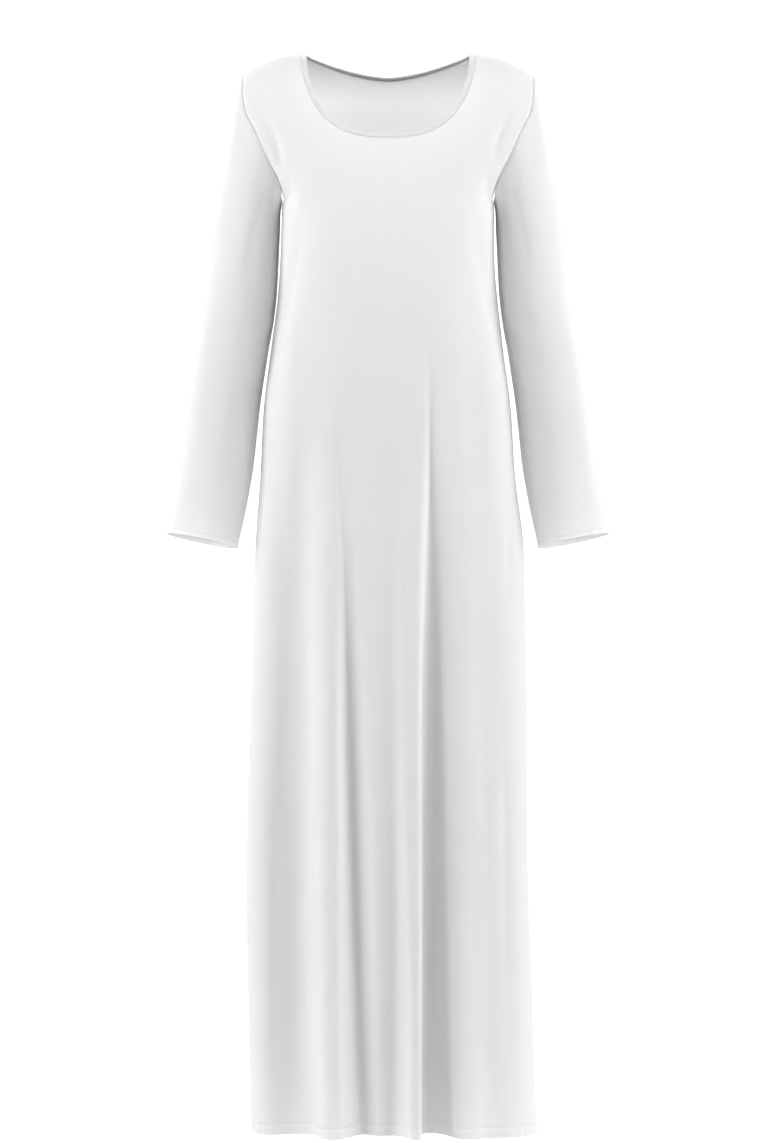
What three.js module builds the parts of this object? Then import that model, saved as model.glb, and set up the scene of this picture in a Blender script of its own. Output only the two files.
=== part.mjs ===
// A white abaya: a plain ankle-length robe with long set-in sleeves and a wide scooped neck.
// It is hollow and filled out as on a wearer. Millimetres, +Z up, the front faces -Y.
// The origin is midway between the two ends of the shoulder seams at the neck.
import * as THREE from 'three';

// Driving dimensions
const CLOTH = 1.2; // thickness of every cloth wall
const SEAM_GAP = 0.3; // clear space between two pieces at a seam
const UNDERARM = -199; // height of the bottom of the armhole
const HEM = -1400; // height of the hem at the side seams
const SHOULDER_DROP = 28; // how far the shoulder seam falls from the neck to the armhole
const NECK_HALF_WIDTH = 112;
const SHOULDER_HALF_WIDTH = 188;
const FRONT_NECK_DROP = 122;
const BACK_NECK_DROP = 26;
const CROWN = 60; // radius of the roll over the top of the shoulder
const BINDING_WIDTH = 6.4;
const BINDING_THICKNESS = 3.2;

// Shape of the neck edge and of the shoulder line, as powers: larger is squarer
const FRONT_NECK_SIDE = 2.6;
const FRONT_NECK_BOTTOM = 2.2;
const BACK_NECK_CURVE = 1.6;
const SHOULDER_CURVE = 1.9;

const table = (columns, rows) => rows.map(
  (row) => Object.fromEntries(columns.map((name, index) => [name, row[index]])),
);

// Half-widths of the robe at its side seams, left and right in the front view, and its half-depths.
// Round is 1 where a level section is an ellipse, and less where it is squarer.
const BODY = table(['z', 'left', 'right', 'front', 'back', 'round'], [
  [HEM, 178, 194, 142, 134, 1],
  [-1310, 180, 190, 139, 131, 1],
  [-1210, 182, 187, 136, 127, 1],
  [-1100, 184, 183, 132, 123, 1],
  [-980, 183, 181, 128, 119, 1],
  [-860, 179, 181, 124, 114, 1],
  [-740, 175, 179, 120, 110, 1],
  [-640, 172, 176, 116, 105, 1],
  [-550, 165.5, 165, 113, 97, 1],
  [-460, 161, 159, 113, 91, 1],
  [-380, 151, 148, 116, 90, 1],
  [-320, 143, 141, 119, 93, 0.95],
  [-260, 139, 137.5, 118, 97, 0.84],
  [UNDERARM, 137.5, 137.5, 113, 101, 0.74],
  [-160, 137.5, 137.5, 106, 102, 0.77],
  [-110, 137.5, 137.5, 92, 98, 0.93],
  [-60, 137.5, 137.5, 80, 86, 1],
  [0, 137.5, 137.5, 74, 78, 1],
]);

// The armhole seam: its distance from the middle in the front view, for each panel, and the spread of the
// level section there, the half-width that it would have if it ran on round the side
const ARMHOLE = table(['z', 'front', 'back', 'spread'], [
  [UNDERARM, 137.5, 137.5, 137.5],
  [-192, 136.2, 136.8, 138.3],
  [-186, 136.2, 137.6, 140.2],
  [-168, 142.6, 144.6, 151],
  [-146, 154.5, 158, 175],
  [-125, 164, 170, 207],
  [-105, 173, 179, 231],
  [-85, 183, 185.5, 245],
  [-60, 187.5, 188, 249],
  [-SHOULDER_DROP, SHOULDER_HALF_WIDTH, SHOULDER_HALF_WIDTH, 245],
]);

// Folds that fall from the bust and the seat, as troughs: x at the top and at the hem, the height where
// each starts, its width on either side of its deepest line, its depth at the hem and how fast it grows
const FOLD_COLUMNS = ['xTop', 'top', 'xHem', 'leftWidth', 'rightWidth', 'depth', 'growth'];
const FRONT_FOLDS = table(FOLD_COLUMNS, [
  [-116, -430, -125, 30, 30, 38, 0.9],
  [-66, -390, -40, 9, 30, 42, 0.9],
  [2, -560, 8, 22, 13, 26, 1.0],
  [54, -340, 61, 10, 24, 48, 0.9],
  [122, -640, 134, 22, 26, 10, 1.0],
]);
const BACK_FOLDS = table(FOLD_COLUMNS, [
  [-112, -640, -126, 16, 24, 20, 0.9],
  [-52, -400, -66, 22, 11, 34, 1.1],
  [6, -560, 12, 16, 22, 22, 1.0],
  [62, -430, 74, 10, 24, 36, 1.1],
  [124, -740, 134, 20, 16, 14, 1.0],
]);

// Creases that run from the armpit down each side, outside the bust
const SIDE_CREASE = { xTop: 110, xEnd: 150, top: -215, end: -430, width: 9, depth: 5 };

// Folds are narrower where they start, ease in over a share of their length, and stop short of the side seams
// (shares of the way across) and of the armpit
const FOLD_START_WIDTH = 0.75;
const FOLD_EASE = 0.12;
const FOLD_FADE = { from: 0.86, to: 0.99, belowArmpit: 30 };
const HEM_RISE_HEIGHT = 500; // how high above the hem its rise is still felt

// The arm, from the first full ring below the armhole down to the cuff
const ARM = table(['x', 'y', 'z', 'across', 'deep'], [
  [184.8, 7, -232, 43.8, 58],
  [191.3, 8, -321, 45.4, 57],
  [202.2, 8, -386, 45.8, 55],
  [212, 6, -451, 46, 51],
  [221.5, 2, -529, 47, 46],
  [230.5, -3, -581, 47.2, 42],
  [241.5, -8, -634, 46.8, 38],
]);

// The sleeve's head: how it leaves the armhole and how it enters the arm, at four places round it
const HEAD = table(['angle', 'out', 'down', 'enter'], [
  [0, 45, 40, 175],
  [90, 40, 62, 120],
  [180, 5, 20, 30],
]);

// Smooth curve through one column of a table, read at a value of its key column
function read(rows, key, column, at) {
  const last = rows.length - 1;
  const rising = rows[last][key] > rows[0][key];
  const target = rising ? at : -at;
  const keyOf = (index) => (rising ? rows[index][key] : -rows[index][key]);
  let index = 0;
  while (index < last - 1 && target > keyOf(index + 1)) index += 1;
  const slope = (from) => {
    const low = Math.max(0, from - 1);
    const high = Math.min(last, from + 1);
    return (rows[high][column] - rows[low][column]) / (keyOf(high) - keyOf(low));
  };
  const span = keyOf(index + 1) - keyOf(index);
  const t = THREE.MathUtils.clamp((target - keyOf(index)) / span, 0, 1);
  return hermite(
    rows[index][column],
    slope(index) * span,
    rows[index + 1][column],
    slope(index + 1) * span,
    t,
  );
}

function hermite(start, startSlope, end, endSlope, t) {
  const a = 2 * t ** 3 - 3 * t ** 2 + 1;
  const b = t ** 3 - 2 * t ** 2 + t;
  return a * start + b * startSlope + (1 - a) * end + (t ** 3 - t ** 2) * endSlope;
}

const lerp = THREE.MathUtils.lerp;
const smoothstep = THREE.MathUtils.smoothstep;

// A level line of a panel. Up to the crown it is a height; above, it runs over the shoulder's roll.
const TOP_LEVEL = -CROWN + CROWN * Math.PI / 2;

function levelLine(panel, level) {
  const roll = Math.max(0, (level + CROWN) / CROWN);
  const z = level > -CROWN ? -CROWN + CROWN * Math.sin(roll) : level;
  const depth = read(BODY, 'z', panel.name, z) * Math.cos(roll);
  const round = read(BODY, 'z', 'round', z);
  if (level <= UNDERARM) return { z, depth, round, angle: Math.PI / 2, drop: 0 };
  const drop = SHOULDER_DROP * smoothstep(level, UNDERARM, TOP_LEVEL);
  const edge = z - drop;
  const reach = read(ARMHOLE, 'z', panel.name, edge);
  const spread = read(ARMHOLE, 'z', 'spread', edge);
  return { z, depth, round, angle: Math.asin(Math.min(1, reach / spread)), drop, reach };
}

// Share of the shoulder's drop at a distance from the middle: none at the neck, all at the armhole
function dropShare(x, reach) {
  const t = (Math.abs(x) - NECK_HALF_WIDTH) / (reach - NECK_HALF_WIDTH);
  return Math.max(0, t) ** SHOULDER_CURVE;
}

// Depth of the folds at a place of a panel, positive inwards
function foldDepth(panel, x, z) {
  let depth = 0;
  for (const fold of panel.folds) {
    const down = THREE.MathUtils.clamp((fold.top - z) / (fold.top - HEM), 0, 1);
    const offset = x - lerp(fold.xTop, fold.xHem, down);
    const width = (offset < 0 ? fold.leftWidth : fold.rightWidth) * lerp(FOLD_START_WIDTH, 1, down);
    const profile = Math.exp(-((offset / width) ** 2));
    depth += fold.depth * down ** fold.growth * smoothstep(down, 0, FOLD_EASE) * profile;
  }
  const crease = SIDE_CREASE;
  const run = THREE.MathUtils.clamp((crease.top - z) / (crease.top - crease.end), 0, 1);
  const beside = Math.abs(x) - lerp(crease.xTop, crease.xEnd, run);
  return depth + crease.depth * Math.sin(Math.PI * run) * Math.exp(-((beside / crease.width) ** 2));
}

// How far the hem hangs higher in the middle of a panel than at its side seams
const hemRise = (panel, across) => panel.hemRise * Math.cos(across * Math.PI / 2) ** 2;

// Middle of the cloth of a panel: across runs from -1 at its left edge to 1 at its right one
function panelPoint(panel, across, level) {
  const line = levelLine(panel, level);
  const turn = across * line.angle;
  let x;
  let z = line.z;
  let width;
  if (level <= UNDERARM) {
    width = read(BODY, 'z', across < 0 ? 'left' : 'right', level);
    x = width * Math.sin(turn);
    z += hemRise(panel, across) * (1 - smoothstep(level, HEM, HEM + HEM_RISE_HEIGHT));
  } else {
    width = line.reach / Math.sin(line.angle);
    x = width * Math.sin(turn);
    z -= line.drop * dropShare(x, line.reach);
  }
  const flat = new THREE.Vector3(x, panel.facing * line.depth * Math.cos(turn) ** line.round, z);
  if (level > UNDERARM) return flat;
  const outward = new THREE.Vector3(line.depth * Math.sin(turn), panel.facing * width * Math.cos(turn), 0);
  const seam = 1 - smoothstep(Math.abs(across), FOLD_FADE.from, FOLD_FADE.to);
  const armpit = smoothstep(-level, -UNDERARM, -UNDERARM + FOLD_FADE.belowArmpit);
  return flat.addScaledVector(outward.normalize(), -foldDepth(panel, x, z) * seam * armpit);
}

// Whether a place of a panel is cut away for the neck
function isCutAway(panel, across, level) {
  const point = panelPoint(panel, across, level);
  return Math.abs(point.x) < NECK_HALF_WIDTH && point.z > panel.neck(Math.abs(point.x));
}

// Halfway search for the last value, from kept towards gone, that is not cut away
const HALVINGS = 40;

function lastKept(kept, gone, isGone) {
  let [inside, outside] = [kept, gone];
  for (let step = 0; step < HALVINGS; step += 1) {
    const middle = (inside + outside) / 2;
    if (isGone(middle)) outside = middle;
    else inside = middle;
  }
  return inside;
}

// The neck edge of a panel: its level at a place across, and its place across at a level
const neckLevel = (panel, across) => lastKept(
  UNDERARM,
  TOP_LEVEL,
  (level) => isCutAway(panel, across, level),
);
const neckAcross = (panel, level) => lastKept(1, 0, (across) => isCutAway(panel, across, level));

// Height of the neck edge at a distance from the middle
const frontNeck = (x) => {
  const side = (x / NECK_HALF_WIDTH) ** FRONT_NECK_SIDE;
  return -FRONT_NECK_DROP * (1 - side) ** (1 / FRONT_NECK_BOTTOM);
};
const backNeck = (x) => -BACK_NECK_DROP * (1 - (x / NECK_HALF_WIDTH) ** BACK_NECK_CURVE);

// The two panels. Levels are those of the rows above the underarm, closest where the armhole is round. The
// neck edge runs across the panel below the corner level, and up beside the shoulder above it.
const FRONT = {
  name: 'front',
  facing: -1,
  folds: FRONT_FOLDS,
  neck: frontNeck,
  hemRise: 11,
  corner: -70,
  levels: [UNDERARM, -197, -192, -185, -176, -162, -143, -119, -94, -70, -48, -28, -8, 13, TOP_LEVEL],
};
const BACK = {
  name: 'back',
  facing: 1,
  folds: BACK_FOLDS,
  neck: backNeck,
  hemRise: 4,
  corner: 7,
  levels: [UNDERARM, -197, -192, -185, -176, -162, -143, -118, -90, -62, -36, -13, 7, 20, TOP_LEVEL],
};

// Closed wall of cloth round a grid of middle points, some of which may be missing. Each point has a
// direction out of the cloth. A ring grid closes on itself across.
function clothWall(name, color, grid, ring) {
  const columns = grid[0].length;
  const numbers = new Map();
  const positions = [];
  const key = (i, j) => i * columns + (j % columns);
  for (const sign of [1, -1]) {
    grid.forEach((row, i) => row.forEach((place, j) => {
      if (!place) return;
      if (sign === 1) numbers.set(key(i, j), numbers.size);
      const moved = place.point.clone().addScaledVector(place.out, sign * CLOTH / 2);
      positions.push(moved.x, moved.y, moved.z);
    }));
  }
  const inner = numbers.size;
  const faces = [];
  const edges = new Map();
  for (let i = 0; i < grid.length - 1; i += 1) {
    for (let j = 0; j < (ring ? columns : columns - 1); j += 1) {
      const corners = [[i, j], [i, j + 1], [i + 1, j + 1], [i + 1, j]].map(([r, c]) => [r, c % columns]);
      const places = corners.map(([r, c]) => grid[r][c]);
      if (places.some((place) => !place)) continue;
      const points = places.map((place) => place.point);
      const [a, b, c, d] = corners.map(([r, column]) => numbers.get(key(r, column)));
      const triangles = points[1].distanceTo(points[3]) < points[0].distanceTo(points[2])
        ? [[a, b, d], [b, c, d]]
        : [[a, b, c], [a, c, d]];
      for (const [u, v, w] of triangles) faces.push(u, v, w, u + inner, w + inner, v + inner);
      for (const [from, to] of [[a, b], [b, c], [c, d], [d, a]]) {
        if (edges.has(`${to},${from}`)) edges.delete(`${to},${from}`);
        else edges.set(`${from},${to}`, [from, to]);
      }
    }
  }
  for (const [from, to] of edges.values()) {
    faces.push(to, from, from + inner, to, from + inner, to + inner);
  }
  return closedMesh(name, color, positions, faces);
}

// Mesh from positions and faces, turned right side out
function closedMesh(name, color, positions, faces) {
  let volume = 0;
  const corner = (index) => new THREE.Vector3().fromArray(positions, 3 * index);
  for (let face = 0; face < faces.length; face += 3) {
    const [a, b, c] = [corner(faces[face]), corner(faces[face + 1]), corner(faces[face + 2])];
    volume += a.dot(b.cross(c));
  }
  if (volume < 0) faces.reverse();
  const geometry = new THREE.BufferGeometry();
  geometry.setAttribute('position', new THREE.Float32BufferAttribute(positions, 3));
  geometry.setIndex(faces);
  geometry.computeVertexNormals();
  const material = new THREE.MeshStandardMaterial({ color, roughness: 0.85, metalness: 0 });
  const mesh = new THREE.Mesh(geometry, material);
  mesh.name = name;
  return mesh;
}

// Direction out of the cloth at a place of a surface, from two short steps along it
const PANEL_STEPS = { u: 0.002, v: 0.5 };
const SLEEVE_STEPS = { u: 0.004, v: 0.01 };

function normalOf(point, u, v, step) {
  const alongU = point(u + step.u, v).sub(point(u - step.u, v));
  const alongV = point(u, v + step.v).sub(point(u, v - step.v));
  return alongU.cross(alongV).normalize();
}

// Levels of a panel's rows below the underarm, and x at the hem of the columns that follow its folds
const LOWER_LEVELS = [HEM, -1330, -1230, -1120, -1000, -880, -760, -650, -550, -460, -380, -310, -250];
const COLUMN_STOPS = {
  front: [-160, -148, -139, -131, -123, -115, -106, -96, -85, -74, -65, -58, -53, -48, -44, -40, -36,
    -31, -25, -17, -8, 1, 9, 17, 27, 38, 46, 51, 55, 59, 63, 68, 74, 81, 89, 99, 110, 121, 131, 141, 151,
    164],
  back: [-159, -146, -136, -127, -117, -106, -95, -86, -78, -72, -67, -62, -56, -48, -38, -26, -14, -4,
    5, 14, 24, 36, 48, 57, 64, 69, 74, 80, 88, 98, 110, 121, 132, 143, 156],
};
const SIDE_STOPS = [0.78, 0.86, 0.93, 1]; // shares of the way across of the columns beside the side seams
const CLOSEST = 0.012; // no fold's column stands nearer than this to one at the neck's corner

// Places across a panel of its columns below the corner of the neck edge
function panelColumns(panel) {
  const hem = BODY[0];
  const corner = neckAcross(panel, panel.corner);
  const folds = COLUMN_STOPS[panel.name]
    .map((x) => Math.asin(x / (x < 0 ? hem.left : hem.right)) / (Math.PI / 2))
    .filter((across) => Math.abs(Math.abs(across) - corner) > CLOSEST);
  const sides = [corner, ...SIDE_STOPS].flatMap((across) => [-across, across]);
  return { corner, places: [...folds, ...sides].sort((a, b) => a - b) };
}

// Middle points of a panel and the direction out of the cloth at each, row by row from the hem up. Above
// the corner level only the columns beside the neck go on, up to the shoulder seam.
function panelGrid(panel) {
  const { corner, places } = panelColumns(panel);
  const tops = places.map(
    (across) => (Math.abs(across) < corner ? neckLevel(panel, across) : panel.corner),
  );
  const sample = (across, level) => panelPoint(
    panel,
    THREE.MathUtils.clamp(across, -1, 1),
    THREE.MathUtils.clamp(level, HEM, TOP_LEVEL),
  );
  const place = (across, level) => {
    const point = sample(across, level);
    const out = normalOf(sample, across, level, PANEL_STEPS).multiplyScalar(-panel.facing);
    if (Math.abs(across) === 1 && level <= UNDERARM) out.set(across, 0, 0);
    if (level === TOP_LEVEL) out.set(0, 0, 1);
    point.y += panel.facing * SEAM_GAP / 2;
    return { point, out };
  };
  return [...LOWER_LEVELS, ...panel.levels].map((rowLevel) => {
    const share = Math.max(0, (rowLevel - UNDERARM) / (panel.corner - UNDERARM));
    const beside = rowLevel > panel.corner ? neckAcross(panel, rowLevel) : corner;
    return places.map((across, index) => {
      if (rowLevel <= UNDERARM) return place(across, rowLevel);
      if (rowLevel <= panel.corner) return place(across, lerp(UNDERARM, tops[index], share));
      if (Math.abs(across) < corner) return null;
      const outer = (Math.abs(across) - corner) / (1 - corner);
      return place(Math.sign(across) * lerp(beside, 1, outer), rowLevel);
    });
  });
}

const panelMesh = (panel, color) => clothWall(`${panel.name}_panel`, color, panelGrid(panel), false);

// The armhole seam of one side, from the underarm up the front to the shoulder and down the back: its
// points, which are those of the panels' edges, and the turn round the arm that each one leads to
function armholeLoop(side) {
  const edge = (panel) => panel.levels.map((level) => panelPoint(panel, side, level));
  const front = edge(FRONT);
  const back = edge(BACK);
  const turns = (points) => {
    const run = [0];
    for (let i = 1; i < points.length; i += 1) {
      run.push(run[i - 1] + points[i].distanceTo(points[i - 1]));
    }
    return run.map((length) => Math.PI * (1 - length / run[run.length - 1]));
  };
  const points = [...front, ...[...back].reverse().slice(1, -1)];
  const backTurns = turns(back).reverse();
  return {
    curve: new THREE.CatmullRomCurve3(points, true),
    count: points.length,
    turns: [...turns(front), ...backTurns.slice(1).map((turn) => -turn)],
  };
}

// Point of a sleeve. Around counts from the underarm by the front, 0 to 1; along is 0 at the armhole,
// 1 at the first full ring of the arm and 2 at the cuff.
function sleevePoint(side, loop, around, along) {
  const place = (((around % 1) + 1) % 1) * loop.count;
  const index = Math.floor(place);
  const turn = lerp(loop.turns[index], loop.turns[index + 1], place - index);
  if (along >= 1) return armPoint(side, turn, along - 1);
  const start = loop.curve.getPoint(place / loop.count);
  const fromTop = Math.abs(turn) * 180 / Math.PI;
  const out = read(HEAD, 'angle', 'out', fromTop);
  const down = read(HEAD, 'angle', 'down', fromTop);
  const enter = read(HEAD, 'angle', 'enter', fromTop);
  start.x += side * seatOffset(fromTop);
  const end = armPoint(side, turn, 0);
  const into = armPoint(side, turn, ARM_STEP).sub(end).normalize();
  const leave = new THREE.Vector3(side * out, 0, -down);
  return new THREE.Vector3(...['x', 'y', 'z'].map(
    (axis) => hermite(start[axis], leave[axis], end[axis], into[axis] * enter, along),
  ));
}

// How far the sleeve's edge lies outside the seam line: edge to edge above, on the body's side below.
// The change lies between two angles from the top of the arm.
const SEAT = { above: 1.5 * SEAM_GAP, below: SEAM_GAP + 1.15 * CLOTH, from: 70, to: 150 };
const seatOffset = (fromTop) => lerp(SEAT.above, SEAT.below, smoothstep(fromTop, SEAT.from, SEAT.to));

// Point of a ring of the arm. The first ring is level, and the rings lean with the arm after a share of it.
const ARM_STEP = 0.01;
const LEAN_FROM = 0.35;

function armPoint(side, turn, along) {
  const last = ARM.length - 1;
  const rows = ARM.map((row, index) => ({ ...row, run: index / last }));
  const centre = (run) => new THREE.Vector3(
    side * read(rows, 'run', 'x', run),
    read(rows, 'run', 'y', run),
    read(rows, 'run', 'z', run),
  );
  const run = THREE.MathUtils.clamp(along, 0, 1);
  const axis = centre(Math.min(1, run + ARM_STEP)).sub(centre(Math.max(0, run - ARM_STEP))).normalize();
  axis.lerp(new THREE.Vector3(0, 0, -1), 1 - smoothstep(run, 0, LEAN_FROM)).normalize();
  const forward = new THREE.Vector3(0, -1, 0).addScaledVector(axis, axis.y).normalize();
  const outward = new THREE.Vector3().crossVectors(forward, axis).normalize();
  if (outward.x * side < 0) outward.negate();
  return centre(run)
    .addScaledVector(outward, read(rows, 'run', 'across', run) * Math.cos(turn))
    .addScaledVector(forward, read(rows, 'run', 'deep', run) * Math.sin(turn));
}

// Rows of a sleeve above its first full ring, as shares of the way down, and the number of rows below
const HEAD_ROWS = [0, 0.07, 0.16, 0.28, 0.42, 0.58, 0.78];
const ARM_ROWS = 9;

function sleeveMesh(name, side, color) {
  const loop = armholeLoop(side);
  const rows = [...HEAD_ROWS];
  for (let row = 0; row <= ARM_ROWS; row += 1) rows.push(1 + row / ARM_ROWS);
  const sample = (around, along) => sleevePoint(side, loop, around, THREE.MathUtils.clamp(along, 0, 2));
  const grid = rows.map((along) => Array.from({ length: loop.count }, (unused, index) => {
    const around = index / loop.count;
    return {
      point: sample(around, along),
      out: normalOf(sample, around, along, SLEEVE_STEPS).multiplyScalar(side),
    };
  }));
  return clothWall(name, color, grid, true);
}

// Places of a panel along its neck edge, from its left shoulder seam to its right one
function neckEdge(panel) {
  const grid = panelGrid(panel);
  const { corner, places } = panelColumns(panel);
  const cornerRow = LOWER_LEVELS.length + panel.levels.indexOf(panel.corner);
  const beside = grid.slice(cornerRow + 1);
  const left = places.indexOf(-corner);
  const right = places.indexOf(corner);
  return [
    ...beside.map((row) => row[left]).reverse(),
    ...grid[cornerRow].slice(left, right + 1),
    ...beside.map((row) => row[right]),
  ];
}

// Rolled binding round the whole neck edge, a strip that follows the edges of both panels
const BINDING_SIDES = 6;

function bindingMesh(color) {
  const edge = [...neckEdge(FRONT), ...neckEdge(BACK).reverse().slice(1, -1)];
  const positions = [];
  const faces = [];
  edge.forEach(({ point, out }, index) => {
    const before = edge[(index + edge.length - 1) % edge.length].point;
    const after = edge[(index + 1) % edge.length].point;
    const tangent = after.clone().sub(before).normalize();
    const into = new THREE.Vector3().crossVectors(tangent, out).normalize();
    if (into.dot(new THREE.Vector3(-point.x, -point.y, NECK_HALF_WIDTH)) < 0) into.negate();
    const centre = point.clone().addScaledVector(into, SEAM_GAP + BINDING_WIDTH / 2);
    for (let side = 0; side < BINDING_SIDES; side += 1) {
      const turn = 2 * Math.PI * side / BINDING_SIDES;
      const corner = centre.clone()
        .addScaledVector(into, BINDING_WIDTH / 2 * Math.cos(turn))
        .addScaledVector(out, BINDING_THICKNESS / 2 * Math.sin(turn));
      positions.push(corner.x, corner.y, corner.z);
      const next = (side + 1) % BINDING_SIDES;
      const here = index * BINDING_SIDES;
      const ahead = ((index + 1) % edge.length) * BINDING_SIDES;
      faces.push(here + side, here + next, ahead + next);
      faces.push(here + side, ahead + next, ahead + side);
    }
  });
  return closedMesh('neck_binding', color, positions, faces);
}

const WHITE = 0xe9e9ea;
const BINDING_WHITE = 0xf2f2f2;
const abaya = new THREE.Group();
abaya.add(
  panelMesh(FRONT, WHITE),
  panelMesh(BACK, WHITE),
  sleeveMesh('left_sleeve', -1, WHITE),
  sleeveMesh('right_sleeve', 1, WHITE),
  bindingMesh(BINDING_WHITE),
);

export default abaya;
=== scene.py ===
# %% [markdown]
# A white abaya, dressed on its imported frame
#
# The object is a plain ankle-length robe: a front and a back panel, two long set-in sleeves and a rolled
# binding round a wide scooped neck. It is shown filled out, as on a wearer, with nobody in it. They say
# where every piece is, in metres, with the front facing -Y. Each piece below is a thin shell of cloth made
# on the form of its solid, with the fine creases added.

# %% Load the frame
from dataclasses import dataclass
from math import pi, radians

import bpy
import numpy as np
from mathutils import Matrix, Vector
from mathutils.kdtree import KDTree


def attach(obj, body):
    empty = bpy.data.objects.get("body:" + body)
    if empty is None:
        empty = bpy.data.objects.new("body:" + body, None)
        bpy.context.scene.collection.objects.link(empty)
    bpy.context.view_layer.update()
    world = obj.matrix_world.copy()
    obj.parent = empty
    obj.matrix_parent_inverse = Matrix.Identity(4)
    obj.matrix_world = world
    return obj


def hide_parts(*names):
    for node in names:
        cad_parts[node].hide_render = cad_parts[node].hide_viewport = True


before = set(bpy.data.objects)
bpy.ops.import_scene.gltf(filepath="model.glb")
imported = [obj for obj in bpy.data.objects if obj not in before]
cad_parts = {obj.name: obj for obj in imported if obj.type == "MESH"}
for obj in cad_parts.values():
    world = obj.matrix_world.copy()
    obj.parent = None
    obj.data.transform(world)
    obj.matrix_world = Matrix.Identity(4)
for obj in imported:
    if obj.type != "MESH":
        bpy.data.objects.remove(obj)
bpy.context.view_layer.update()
print("solids:", ", ".join(sorted(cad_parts)))

# %% [markdown]
# The camera comes first, because everything is judged through it. The photograph was taken from far off,
# level with the middle of the robe. A long lens from 4.2 m gives the same gentle perspective. A camera with
# no perspective would be simpler, but it would show a level hem as a straight line.

# %% Camera at the photograph's angle
CAMERA_DISTANCE = 4.2
CAMERA_HEIGHT = -0.674
CAMERA_SIDE = -0.00325
LENS = 101.7


def add_object(name, data):
    made = bpy.data.objects.new(name, data)
    bpy.context.scene.collection.objects.link(made)
    return made


camera_data = bpy.data.cameras.new("photo_camera")
camera_data.lens = LENS
camera = add_object("photo_camera", camera_data)
camera.location = (CAMERA_SIDE, -CAMERA_DISTANCE, CAMERA_HEIGHT)
camera.rotation_euler = (radians(90), 0, 0)
bpy.context.scene.camera = camera
print("camera", tuple(round(value, 3) for value in camera.location), "lens", LENS)

# %% [markdown]
# A robe has no straight line in it, so its sizes are kept in short tables, one row for each height, and a
# smooth curve runs through each column. The curve is a Hermite one: it passes through every row, and its
# slope at a row is that between the rows on either side. A Bezier curve or a subdivided mesh would be as
# smooth, but wouldn't pass through the sizes as written. They are in millimetres, like a maker's.


# %% Tables and the curve through them
def table(columns, rows):
    """A short table with named columns. The first column is the one that it is read by."""
    return {name: np.array(values, float) for name, values in zip(columns, zip(*rows))}


def hermite(start, start_slope, end, end_slope, t):
    a = 2 * t**3 - 3 * t**2 + 1
    b = t**3 - 2 * t**2 + t
    return a * start + b * start_slope + (1 - a) * end + (t**3 - t**2) * end_slope


def read(rows, column, at):
    """The smooth curve through one column of a table, at many values at once."""
    key = rows[next(iter(rows))]
    value = rows[column]
    slope = np.gradient(value, key, edge_order=1)
    slope[1:-1] = (value[2:] - value[:-2]) / (key[2:] - key[:-2])
    at = np.clip(at, key[0], key[-1])
    index = np.clip(np.searchsorted(key, at, side="right") - 1, 0, len(key) - 2)
    span = key[index + 1] - key[index]
    t = (at - key[index]) / span
    return hermite(value[index], slope[index] * span, value[index + 1], slope[index + 1] * span, t)


def smoothstep(value, low, high):
    t = np.clip((value - low) / (high - low), 0, 1)
    return t * t * (3 - 2 * t)


def lerp(low, high, t):
    return low + (high - low) * t


# %% [markdown]
# These are the robe's sizes. The half-widths are taken at the side seams, left and right as seen from the
# front, and the half-depths from the middle to the front and the back.

# %% Sizes of the body
UNDERARM = -199
HEM = -1400
SHOULDER_DROP = 28
NECK_HALF_WIDTH = 112
SHOULDER_HALF_WIDTH = 188
FRONT_NECK_DROP = 122
BACK_NECK_DROP = 26
CROWN = 60
FRONT_NECK_SIDE = 2.6
FRONT_NECK_BOTTOM = 2.2
BACK_NECK_CURVE = 1.6
SHOULDER_CURVE = 1.9
TOP_LEVEL = -CROWN + CROWN * pi / 2

BODY = table(
    ("z", "left", "right", "front", "back", "round"),
    [
        (HEM, 178, 194, 142, 134, 1),
        (-1310, 180, 190, 139, 131, 1),
        (-1210, 182, 187, 136, 127, 1),
        (-1100, 184, 183, 132, 123, 1),
        (-980, 183, 181, 128, 119, 1),
        (-860, 179, 181, 124, 114, 1),
        (-740, 175, 179, 120, 110, 1),
        (-640, 172, 176, 116, 105, 1),
        (-550, 165.5, 165, 113, 97, 1),
        (-460, 161, 159, 113, 91, 1),
        (-380, 151, 148, 116, 90, 1),
        (-320, 143, 141, 119, 93, 0.95),
        (-260, 139, 137.5, 118, 97, 0.84),
        (UNDERARM, 137.5, 137.5, 113, 101, 0.74),
        (-160, 137.5, 137.5, 106, 102, 0.77),
        (-110, 137.5, 137.5, 92, 98, 0.93),
        (-60, 137.5, 137.5, 80, 86, 1),
        (0, 137.5, 137.5, 74, 78, 1),
    ],
)
print("body rows:", len(BODY["z"]), "from", HEM, "to the shoulder")

# %% [markdown]
# The armhole is the curve that the sleeve is sewn to. At its lower end the level sections open up, and
# "spread" is how wide such a section would be if it ran on round the side.

# %% Sizes of the armhole
ARMHOLE = table(
    ("z", "front", "back", "spread"),
    [
        (UNDERARM, 137.5, 137.5, 137.5),
        (-192, 136.2, 136.8, 138.3),
        (-186, 136.2, 137.6, 140.2),
        (-168, 142.6, 144.6, 151),
        (-146, 154.5, 158, 175),
        (-125, 164, 170, 207),
        (-105, 173, 179, 231),
        (-85, 183, 185.5, 245),
        (-60, 187.5, 188, 249),
        (-SHOULDER_DROP, SHOULDER_HALF_WIDTH, SHOULDER_HALF_WIDTH, 245),
    ],
)
print("armhole depth:", -SHOULDER_DROP - UNDERARM, "mm")

# %% [markdown]
# The long folds fall from the bust, and from the seat behind. Blender can let cloth fall by simulation, but
# the folds would come where they like, so these are placed. Each is a trough with its own width on either
# side of its deepest line, so that one wall can be steep and the other one soft. Each row has the fold's
# place across and its height at the top, its place at the hem, the widths to its left and right, its depth,
# and how it grows on the way down.

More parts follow.
